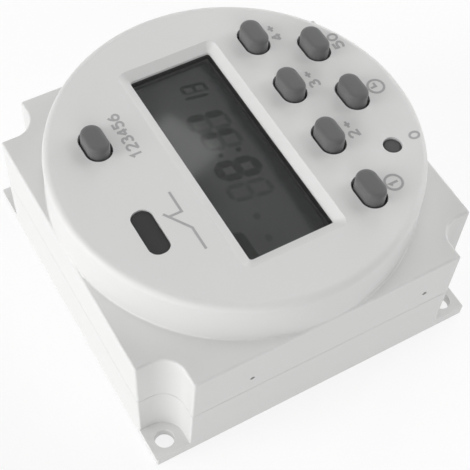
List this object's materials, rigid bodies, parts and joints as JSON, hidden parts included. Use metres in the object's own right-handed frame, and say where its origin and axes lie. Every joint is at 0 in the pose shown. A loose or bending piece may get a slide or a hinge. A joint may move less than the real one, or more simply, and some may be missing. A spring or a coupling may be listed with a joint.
{
  "type": "digital timer switch",
  "caption": "Square two-part case with screw corners and a round raised face carrying a display window, rubber keys, a lamp slot and blade terminals at the back.",
  "frame": {"origin": "middle of the flat back of the case", "axes": "+Z out of the face, +X the way the face is read, +Y from the key rows towards the manual key"},
  "size_m": [0.06, 0.06, 0.0334],
  "materials": {
    "case": "white moulded plastic, fine satin",
    "key": "mid grey silicone",
    "dark_key": "dark grey silicone",
    "mat": "mid grey silicone",
    "elastomer": "black conductive elastomer",
    "foam": "dark foam",
    "clear_lens": "clear polished plastic",
    "display": "polarised display glass",
    "display_back": "polarised display glass",
    "dark_lens": "smoked plastic",
    "led_body": "tinted lamp body",
    "black_plastic": "black moulded plastic",
    "board": "green coated laminate",
    "tinned": "tinned metal",
    "steel": "plated steel",
    "aluminium_can": "sleeved aluminium can",
    "relay_case": "blue moulded plastic",
    "film_case": "yellow moulded plastic",
    "varistor_coat": "blue epoxy coat",
    "resistor_coat": "green ceramic coat"
  },
  "bodies": {
    "case": {"backup_cell": "steel", "board_screws": "steel", "contact_strip_lower": "elastomer", "contact_strip_upper": "elastomer", "control_board": "board", "controller_chip": "black_plastic", "crystal": "tinned", "display_backing": "foam", "display_front_glass": "display", "display_holder": "black_plastic", "display_lens": "clear_lens", "display_rear_glass": "display_back", "film_capacitor": "film_case", "filter_capacitor": "aluminium_can", "front_cover": "case", "fuse_resistor": "resistor_coat", "keypad_mat_lower": "mat", "keypad_mat_upper": "mat", "lamp_led": "led_body", "lamp_lens": "dark_lens", "link_header": "black_plastic", "link_socket": "black_plastic", "power_board": "board", "power_screws": "steel", "rear_base": "case", "rectifier": "black_plastic", "relay": "relay_case", "terminal_1": "tinned", "terminal_2": "tinned", "terminal_3": "tinned", "terminal_4": "tinned", "terminal_5": "tinned", "varistor": "varistor_coat", "web_clock": "mat", "web_day": "mat", "web_hour": "mat", "web_manual": "mat", "web_minute": "mat", "web_program": "mat", "web_recall": "mat", "web_reset": "mat"},
    "manual_key": {"key_manual": "key", "pill_manual": "elastomer"},
    "program_key": {"key_program": "key", "pill_program": "elastomer"},
    "day_key": {"key_day": "key", "pill_day": "elastomer"},
    "hour_key": {"key_hour": "key", "pill_hour": "elastomer"},
    "minute_key": {"key_minute": "key", "pill_minute": "elastomer"},
    "clock_key": {"key_clock": "key", "pill_clock": "elastomer"},
    "recall_key": {"key_recall": "key", "pill_recall": "elastomer"},
    "reset_key": {"key_reset": "dark_key", "pill_reset": "elastomer"}
  },
  "joints": [
    {"name": "manual_press", "type": "slide", "parent": "case", "child": "manual_key", "axis": [0, 0, -1], "range_m": [0, 0.0008], "stiffness_N_per_m": 900, "deforming": ["web_manual"]},
    {"name": "program_press", "type": "slide", "parent": "case", "child": "program_key", "axis": [0, 0, -1], "range_m": [0, 0.0008], "stiffness_N_per_m": 900, "deforming": ["web_program"]},
    {"name": "day_press", "type": "slide", "parent": "case", "child": "day_key", "axis": [0, 0, -1], "range_m": [0, 0.0008], "stiffness_N_per_m": 900, "deforming": ["web_day"]},
    {"name": "hour_press", "type": "slide", "parent": "case", "child": "hour_key", "axis": [0, 0, -1], "range_m": [0, 0.0008], "stiffness_N_per_m": 900, "deforming": ["web_hour"]},
    {"name": "minute_press", "type": "slide", "parent": "case", "child": "minute_key", "axis": [0, 0, -1], "range_m": [0, 0.0008], "stiffness_N_per_m": 900, "deforming": ["web_minute"]},
    {"name": "clock_press", "type": "slide", "parent": "case", "child": "clock_key", "axis": [0, 0, -1], "range_m": [0, 0.0008], "stiffness_N_per_m": 900, "deforming": ["web_clock"]},
    {"name": "recall_press", "type": "slide", "parent": "case", "child": "recall_key", "axis": [0, 0, -1], "range_m": [0, 0.0008], "stiffness_N_per_m": 900, "deforming": ["web_recall"]},
    {"name": "reset_press", "type": "slide", "parent": "case", "child": "reset_key", "axis": [0, 0, -1], "range_m": [0, 0.0008], "stiffness_N_per_m": 900, "deforming": ["web_reset"]}
  ]
}
